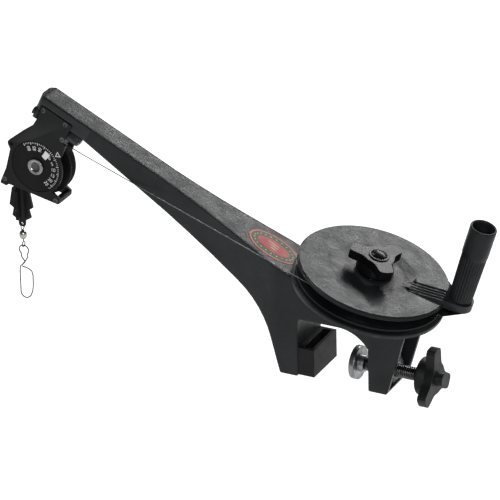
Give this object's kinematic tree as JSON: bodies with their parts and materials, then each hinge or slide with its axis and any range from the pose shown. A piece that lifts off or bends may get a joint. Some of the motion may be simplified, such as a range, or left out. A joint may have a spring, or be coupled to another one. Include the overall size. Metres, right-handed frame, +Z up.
{
  "type": "clamp-mount manual downrigger",
  "caption": "Clamp-on manual downrigger: moulded boom with clamp foot, tilted hand-crank cable reel, and swinging tip head with line pulley and dial counter.",
  "frame": {"origin": "middle of the flat saddle face that rests on the rail, on the symmetry plane of the clamp foot", "axes": "+X from the boom tip towards the clamp knob, +Y towards the back of the boom, +Z up"},
  "size_m": [0.4961, 0.1444, 0.2356],
  "materials": {
    "body_plastic": "satin glass-filled nylon with a fine grain",
    "reel_plastic": "satin, faint turning marks",
    "pad_plastic": "matte",
    "head_plastic": "satin, finely textured",
    "pulley_plastic": "satin",
    "knob_gloss": "polished phenolic",
    "knob_matte": "matte phenolic",
    "grip_rubber": "satin moulded grip",
    "dial_plastic": "matte with printed white figures",
    "gear_acetal": "natural acetal",
    "friction_fibre": "woven friction fibre",
    "decal_vinyl": null,
    "zinc_steel": "zinc plated",
    "dark_steel": "black oxide",
    "stainless": "bright drawn",
    "nickel": "nickel plated",
    "steel_cable": "stranded stainless cable",
    "brass": "machined"
  },
  "bodies": {
    "frame": {"boom_body": "body_plastic", "jaw_pad": "pad_plastic", "jaw_pad_screws": "zinc_steel", "clamp_insert": "dark_steel", "reel_spindle": "zinc_steel", "drag_washer": "friction_fibre", "oval_decal": "decal_vinyl", "hinge_pin": "dark_steel", "hinge_pin_clips": "dark_steel", "cable_run": "steel_cable"},
    "spool": {"spool_lower_flange": "reel_plastic", "spool_drum": "reel_plastic", "spool_top_disc": "reel_plastic", "spool_bush": "brass", "spool_screws": "zinc_steel", "wound_cable": "steel_cable", "crank_pin": "zinc_steel", "crank_nut": "zinc_steel", "thrust_washer": "zinc_steel", "spring_washer": "stainless"},
    "grip": {"hand_grip": "grip_rubber"},
    "drag": {"drag_knob": "knob_gloss", "drag_knob_insert": "brass", "drag_knob_cap": "knob_gloss"},
    "pad": {"pressure_disc": "zinc_steel"},
    "screw": {"clamp_screw": "dark_steel", "clamp_knob": "knob_matte", "clamp_knob_pin": "dark_steel"},
    "head": {"head_housing": "head_plastic", "head_cover": "head_plastic", "cover_screws": "dark_steel", "pulley_axle": "stainless", "axle_nut": "zinc_steel", "dial_screw": "stainless", "idler_shaft": "stainless", "cable_lead": "steel_cable"},
    "pulley": {"pulley": "pulley_plastic", "pulley_bush": "brass", "pulley_pinion": "brass"},
    "idler": {"idler_gear": "gear_acetal"},
    "dial": {"dial_disc": "dial_plastic", "dial_gear": "gear_acetal"},
    "terminator": {"cable_terminator": "pulley_plastic", "cable_crimp": "stainless"},
    "swivel": {"swivel_top_eye": "dark_steel", "swivel_barrel": "nickel"},
    "swivel_low": {"swivel_lower_eye": "dark_steel"},
    "snap": {"snap_wire": "dark_steel"}
  },
  "joints": [
    {"name": "reel_spin", "type": "hinge", "parent": "frame", "child": "spool", "pos_m": [0.0434, 0, 0.05195], "axis": [0.2924, 0, 0.9563], "continuous": true},
    {"name": "grip_spin", "type": "hinge", "parent": "spool", "child": "grip", "pos_m": [0.12005, 0.01733, 0.02852], "axis": [0.2924, 0, 0.9563], "continuous": true},
    {"name": "drag_knob_turn", "type": "hinge", "parent": "frame", "child": "drag", "pos_m": [0.0434, 0, 0.05195], "axis": [0.2924, 0, 0.9563], "range_deg": [-360, 540]},
    {"name": "clamp_travel", "type": "slide", "parent": "frame", "child": "pad", "axis": [-1, 0, 0], "range_m": [-0.0101, 0.0191]},
    {"name": "clamp_turn", "type": "hinge", "parent": "pad", "child": "screw", "pos_m": [0.1, 0, -0.0453], "axis": [-1, 0, 0], "range_deg": [-1862, 3520]},
    {"name": "head_swing", "type": "hinge", "parent": "frame", "child": "head", "pos_m": [-0.28135, -0.006, 0.14136], "axis": [0.8965, 0, -0.4431], "range_deg": [-40, 40]},
    {"name": "pulley_spin", "type": "hinge", "parent": "head", "child": "pulley", "pos_m": [-0.3006, 0.0036, 0.0963], "axis": [0, 1, 0], "continuous": true},
    {"name": "idler_spin", "type": "hinge", "parent": "head", "child": "idler", "pos_m": [-0.30393, 0.0036, 0.11521], "axis": [0, 1, 0], "continuous": true},
    {"name": "dial_spin", "type": "hinge", "parent": "head", "child": "dial", "pos_m": [-0.3006, 0.0036, 0.0963], "axis": [0, 1, 0], "continuous": true},
    {"name": "terminator_swing", "type": "hinge", "parent": "head", "child": "terminator", "pos_m": [-0.3277, 0.0036, 0.068], "axis": [0, 1, 0], "range_deg": [-12, 12]},
    {"name": "swivel_swing", "type": "hinge", "parent": "terminator", "child": "swivel", "pos_m": [-0.3277, 0.0036, 0.0255], "axis": [1, 0, 0], "range_deg": [-20, 20]},
    {"name": "swivel_turn", "type": "hinge", "parent": "swivel", "child": "swivel_low", "pos_m": [-0.3277, 0.0036, 0.009], "axis": [0, 0, 1], "continuous": true},
    {"name": "snap_swing", "type": "hinge", "parent": "swivel_low", "child": "snap", "pos_m": [-0.3277, 0.0036, 0.001], "axis": [0, 1, 0], "range_deg": [-25, 25]}
  ],
  "couplings": [
    {"joint": "pulley_spin", "follows": "reel_spin", "ratio": 2.1132},
    {"joint": "idler_spin", "follows": "reel_spin", "ratio": -0.7044},
    {"joint": "dial_spin", "follows": "reel_spin", "ratio": 0.2348},
    {"joint": "clamp_turn", "follows": "clamp_travel", "rad_per_m": 3215.8}
  ]
}
